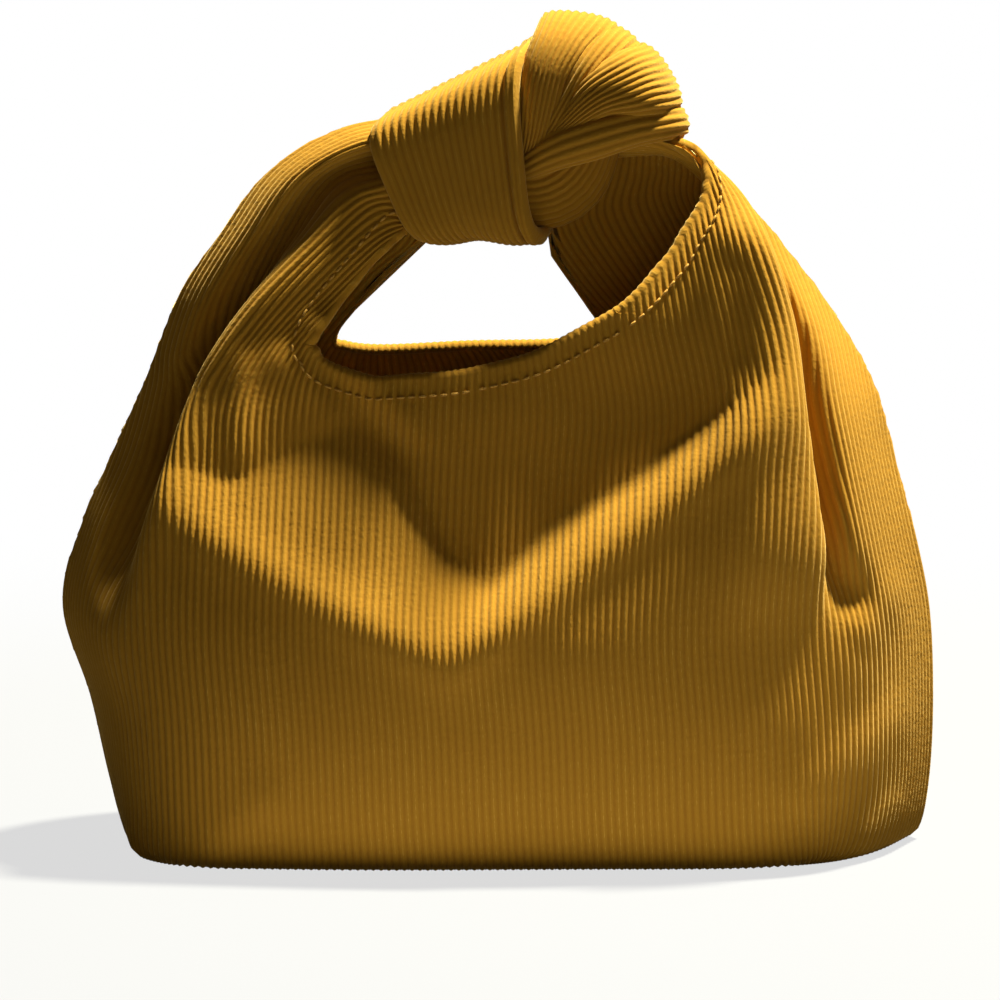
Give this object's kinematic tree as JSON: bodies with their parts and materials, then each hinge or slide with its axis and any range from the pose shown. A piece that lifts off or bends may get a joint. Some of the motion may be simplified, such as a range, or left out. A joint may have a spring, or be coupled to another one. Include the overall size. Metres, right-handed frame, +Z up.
{
  "type": "pouch clutch",
  "caption": "Soft corduroy pouch clutch with a scooped mouth, lined walls and wide shoulder straps tied in a top knot that leaves a hand loop.",
  "frame": {"origin": "middle of the part's box at the base, on the surface it stands on", "axes": "+X across the bag to the right as seen from its front, -Y out of the front, +Z up"},
  "size_m": [0.2582, 0.0995, 0.2536],
  "materials": {
    "corduroy": "ribbed cotton pile, mustard",
    "lining_corduroy": "ribbed cotton pile, mustard, inside",
    "interlining_fleece": "thin white fleece",
    "thread": "spun polyester sewing thread, mustard"
  },
  "bodies": {
    "bag": {"base_panel": "corduroy", "base_lining": "lining_corduroy", "outer_back_panel": "corduroy", "back_interlining": "interlining_fleece", "lining_back_panel": "lining_corduroy", "back_rim_stitching": "thread", "left_strap_fold": "corduroy", "left_strap_fold_lining": "lining_corduroy", "right_strap_fold": "corduroy", "right_strap_fold_lining": "lining_corduroy"},
    "front_wall": {"outer_front_panel": "corduroy", "front_interlining": "interlining_fleece", "lining_front_panel": "lining_corduroy", "front_rim_stitching": "thread"},
    "handle": {"left_strap": "corduroy", "left_strap_lining": "lining_corduroy", "right_strap": "corduroy", "right_strap_lining": "lining_corduroy", "knot_strand": "corduroy", "knot_fold_low": "corduroy", "knot_fold_middle": "corduroy", "knot_fold_top": "corduroy"},
    "knot_wrap": {"knot_wrap": "corduroy"}
  },
  "joints": [
    {"name": "mouth_open", "type": "hinge", "parent": "bag", "child": "front_wall", "pos_m": [0, -0.041, 0.002], "axis": [1, 0, 0], "range_deg": [0, 12]},
    {"name": "handle_flop", "type": "hinge", "parent": "bag", "child": "handle", "pos_m": [-0.0065, 0, 0.168], "axis": [0.9895, 0, 0.1445], "range_deg": [-50, 50], "deforming": ["left_strap_fold", "right_strap_fold", "left_strap_fold_lining", "right_strap_fold_lining"]},
    {"name": "knot_wrap_slide", "type": "slide", "parent": "handle", "child": "knot_wrap", "axis": [-0.9744, 0, -0.225], "range_m": [0, 0.008]}
  ]
}
